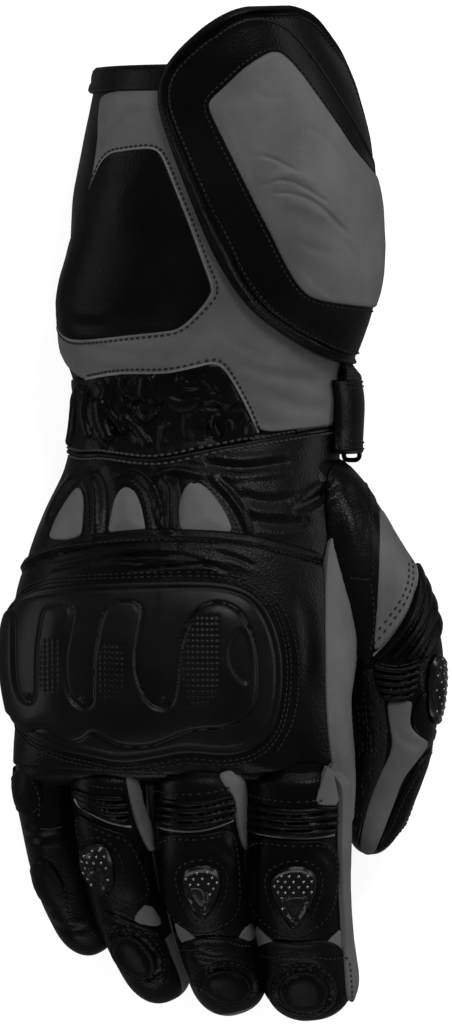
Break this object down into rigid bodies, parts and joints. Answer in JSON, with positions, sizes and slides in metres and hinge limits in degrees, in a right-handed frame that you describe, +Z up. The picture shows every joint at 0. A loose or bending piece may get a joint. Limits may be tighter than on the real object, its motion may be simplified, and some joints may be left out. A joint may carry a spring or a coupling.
{
  "type": "motorcycle glove",
  "caption": "Right-hand leather gauntlet glove lying palm down, with a wide cuff and flap, padded panels, a moulded knuckle guard and small finger guards.",
  "frame": {"origin": "middle of the glove's bounding box in plan, on the plane that it lies on", "axes": "+Z up out of the back of the hand, +Y from the finger tips towards the cuff, +X towards the thumb"},
  "size_m": [0.155, 0.3376, 0.0825],
  "materials": {
    "black_leather": "smooth black grain leather with a low sheen",
    "grey_leather": "mid grey smooth leather",
    "moulded_guard": "moulded dark rubbery plastic, satin",
    "shield": "glossy black shield with light speckle",
    "webbing": "dark woven elastic strap",
    "wire": "dark rectangular wire ring"
  },
  "bodies": {
    "root": {"gauntlet": "black_leather", "cuff_binding": "black_leather", "cuff_top_panel": "grey_leather", "cuff_panel": "black_leather", "cuff_flap": "black_leather", "flap_pad": "grey_leather", "wrist_gather": "black_leather", "wrist_strap": "webbing", "strap_ring": "wire", "hand": "black_leather", "hand_side_strip": "grey_leather", "tendon_insert_1": "grey_leather", "tendon_insert_2": "grey_leather", "tendon_insert_3": "grey_leather", "knuckle_panel": "black_leather", "knuckle_guard": "moulded_guard", "index_finger": "grey_leather", "index_side_strip": "grey_leather", "index_accordion": "black_leather", "index_back_panel": "black_leather", "index_guard": "shield", "index_tip_panel": "black_leather", "index_tip_pad": "black_leather", "middle_finger": "grey_leather", "middle_accordion": "black_leather", "middle_back_panel": "black_leather", "middle_guard": "shield", "middle_tip_panel": "black_leather", "middle_tip_pad": "black_leather", "middle_side_strip": "grey_leather", "ring_finger": "grey_leather", "ring_accordion": "black_leather", "ring_back_panel": "black_leather", "ring_guard": "shield", "ring_tip_panel": "black_leather", "ring_tip_pad": "black_leather", "ring_side_strip": "grey_leather", "little_finger": "black_leather", "little_root_pad": "black_leather", "little_back_pad": "black_leather", "thumb": "black_leather", "thumb_panel": "grey_leather", "thumb_accordion": "black_leather", "thumb_gusset": "grey_leather", "thumb_guard": "shield", "thumb_inner_panel": "black_leather"}
  },
  "joints": []
}
